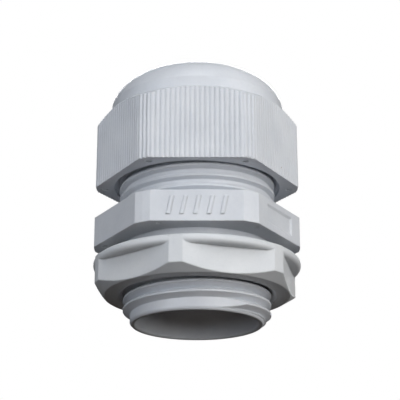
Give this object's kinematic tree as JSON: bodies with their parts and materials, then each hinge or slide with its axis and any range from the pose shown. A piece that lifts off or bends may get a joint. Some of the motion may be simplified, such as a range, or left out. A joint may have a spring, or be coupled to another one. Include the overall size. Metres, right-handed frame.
{
  "type": "cable gland",
  "caption": "Nylon cable gland: hexagon body with entry and cap threads, ribbed domed compression nut, flanged locknut, claw and rubber seal.",
  "frame": {"origin": "on the gland's axis at the end face of the entry thread, where it stands", "axes": "+Z along the gland, from the entry thread towards the dome; the front flats of body and dome nut face -Y and corners point along +X and -X"},
  "size_m": [0.0471, 0.047, 0.0584],
  "materials": {
    "nylon": "satin light grey moulded nylon",
    "claw_nylon": "satin grey moulded nylon",
    "seal_rubber": "matt black rubber"
  },
  "bodies": {
    "gland": {"gland_body": "nylon", "claw_ring": "claw_nylon"},
    "seal": {"seal_insert": "seal_rubber"},
    "dome_nut": {"dome_nut": "nylon"},
    "gasket": {"entry_gasket": "seal_rubber"},
    "locknut": {"locknut": "nylon"},
    "claw_finger_01": {"claw_finger_01": "claw_nylon"},
    "claw_finger_02": {"claw_finger_02": "claw_nylon"},
    "claw_finger_03": {"claw_finger_03": "claw_nylon"},
    "claw_finger_04": {"claw_finger_04": "claw_nylon"},
    "claw_finger_05": {"claw_finger_05": "claw_nylon"},
    "claw_finger_06": {"claw_finger_06": "claw_nylon"},
    "claw_finger_07": {"claw_finger_07": "claw_nylon"},
    "claw_finger_08": {"claw_finger_08": "claw_nylon"},
    "claw_finger_09": {"claw_finger_09": "claw_nylon"},
    "claw_finger_10": {"claw_finger_10": "claw_nylon"},
    "claw_finger_11": {"claw_finger_11": "claw_nylon"},
    "claw_finger_12": {"claw_finger_12": "claw_nylon"},
    "claw_finger_13": {"claw_finger_13": "claw_nylon"},
    "claw_finger_14": {"claw_finger_14": "claw_nylon"}
  },
  "joints": [
    {"name": "dome_nut_travel", "type": "slide", "parent": "gland", "child": "seal", "axis": [0, 0, 1], "range_m": [-0.00662, 0.00242], "deforming": ["seal_insert"]},
    {"name": "dome_nut_turn", "type": "hinge", "parent": "seal", "child": "dome_nut", "pos_m": [0, 0, 0.04], "axis": [0, 0, 1], "range_deg": [-990, 360]},
    {"name": "locknut_travel", "type": "slide", "parent": "gland", "child": "gasket", "axis": [0, 0, 1], "range_m": [-0.01437, 0.00148]},
    {"name": "locknut_turn", "type": "hinge", "parent": "gasket", "child": "locknut", "pos_m": [0, 0, 0.01], "axis": [0, 0, 1], "range_deg": [-2340, 240]},
    {"name": "claw_hinge_01", "type": "hinge", "parent": "gland", "child": "claw_finger_01", "pos_m": [0.0146, 0, 0.0404], "axis": [0, 1, 0], "range_deg": [-18.6, 6.8]},
    {"name": "claw_hinge_02", "type": "hinge", "parent": "gland", "child": "claw_finger_02", "pos_m": [0.01315, 0.00633, 0.0404], "axis": [-0.4339, 0.901, 0], "range_deg": [-18.6, 6.8]},
    {"name": "claw_hinge_03", "type": "hinge", "parent": "gland", "child": "claw_finger_03", "pos_m": [0.0091, 0.01141, 0.0404], "axis": [-0.7818, 0.6235, 0], "range_deg": [-18.6, 6.8]},
    {"name": "claw_hinge_04", "type": "hinge", "parent": "gland", "child": "claw_finger_04", "pos_m": [0.00325, 0.01423, 0.0404], "axis": [-0.9749, 0.2225, 0], "range_deg": [-18.6, 6.8]},
    {"name": "claw_hinge_05", "type": "hinge", "parent": "gland", "child": "claw_finger_05", "pos_m": [-0.00325, 0.01423, 0.0404], "axis": [-0.9749, -0.2225, 0], "range_deg": [-18.6, 6.8]},
    {"name": "claw_hinge_06", "type": "hinge", "parent": "gland", "child": "claw_finger_06", "pos_m": [-0.0091, 0.01141, 0.0404], "axis": [-0.7818, -0.6235, 0], "range_deg": [-18.6, 6.8]},
    {"name": "claw_hinge_07", "type": "hinge", "parent": "gland", "child": "claw_finger_07", "pos_m": [-0.01315, 0.00633, 0.0404], "axis": [-0.4339, -0.901, 0], "range_deg": [-18.6, 6.8]},
    {"name": "claw_hinge_08", "type": "hinge", "parent": "gland", "child": "claw_finger_08", "pos_m": [-0.0146, 0, 0.0404], "axis": [0, -1, 0], "range_deg": [-18.6, 6.8]},
    {"name": "claw_hinge_09", "type": "hinge", "parent": "gland", "child": "claw_finger_09", "pos_m": [-0.01315, -0.00633, 0.0404], "axis": [0.4339, -0.901, 0], "range_deg": [-18.6, 6.8]},
    {"name": "claw_hinge_10", "type": "hinge", "parent": "gland", "child": "claw_finger_10", "pos_m": [-0.0091, -0.01141, 0.0404], "axis": [0.7818, -0.6235, 0], "range_deg": [-18.6, 6.8]},
    {"name": "claw_hinge_11", "type": "hinge", "parent": "gland", "child": "claw_finger_11", "pos_m": [-0.00325, -0.01423, 0.0404], "axis": [0.9749, -0.2225, 0], "range_deg": [-18.6, 6.8]},
    {"name": "claw_hinge_12", "type": "hinge", "parent": "gland", "child": "claw_finger_12", "pos_m": [0.00325, -0.01423, 0.0404], "axis": [0.9749, 0.2225, 0], "range_deg": [-18.6, 6.8]},
    {"name": "claw_hinge_13", "type": "hinge", "parent": "gland", "child": "claw_finger_13", "pos_m": [0.0091, -0.01141, 0.0404], "axis": [0.7818, 0.6235, 0], "range_deg": [-18.6, 6.8]},
    {"name": "claw_hinge_14", "type": "hinge", "parent": "gland", "child": "claw_finger_14", "pos_m": [0.01315, -0.00633, 0.0404], "axis": [0.4339, 0.901, 0], "range_deg": [-18.6, 6.8]}
  ],
  "couplings": [
    {"joint": "dome_nut_travel", "follows": "dome_nut_turn", "m_per_rad": 0.00038197},
    {"joint": "locknut_travel", "follows": "locknut_turn", "m_per_rad": 0.00035157},
    {"joint": "claw_hinge_01", "follows": "dome_nut_turn", "ratio": 0.018687},
    {"joint": "claw_hinge_02", "follows": "dome_nut_turn", "ratio": 0.018687},
    {"joint": "claw_hinge_03", "follows": "dome_nut_turn", "ratio": 0.018687},
    {"joint": "claw_hinge_04", "follows": "dome_nut_turn", "ratio": 0.018687},
    {"joint": "claw_hinge_05", "follows": "dome_nut_turn", "ratio": 0.018687},
    {"joint": "claw_hinge_06", "follows": "dome_nut_turn", "ratio": 0.018687},
    {"joint": "claw_hinge_07", "follows": "dome_nut_turn", "ratio": 0.018687},
    {"joint": "claw_hinge_08", "follows": "dome_nut_turn", "ratio": 0.018687},
    {"joint": "claw_hinge_09", "follows": "dome_nut_turn", "ratio": 0.018687},
    {"joint": "claw_hinge_10", "follows": "dome_nut_turn", "ratio": 0.018687},
    {"joint": "claw_hinge_11", "follows": "dome_nut_turn", "ratio": 0.018687},
    {"joint": "claw_hinge_12", "follows": "dome_nut_turn", "ratio": 0.018687},
    {"joint": "claw_hinge_13", "follows": "dome_nut_turn", "ratio": 0.018687},
    {"joint": "claw_hinge_14", "follows": "dome_nut_turn", "ratio": 0.018687}
  ]
}
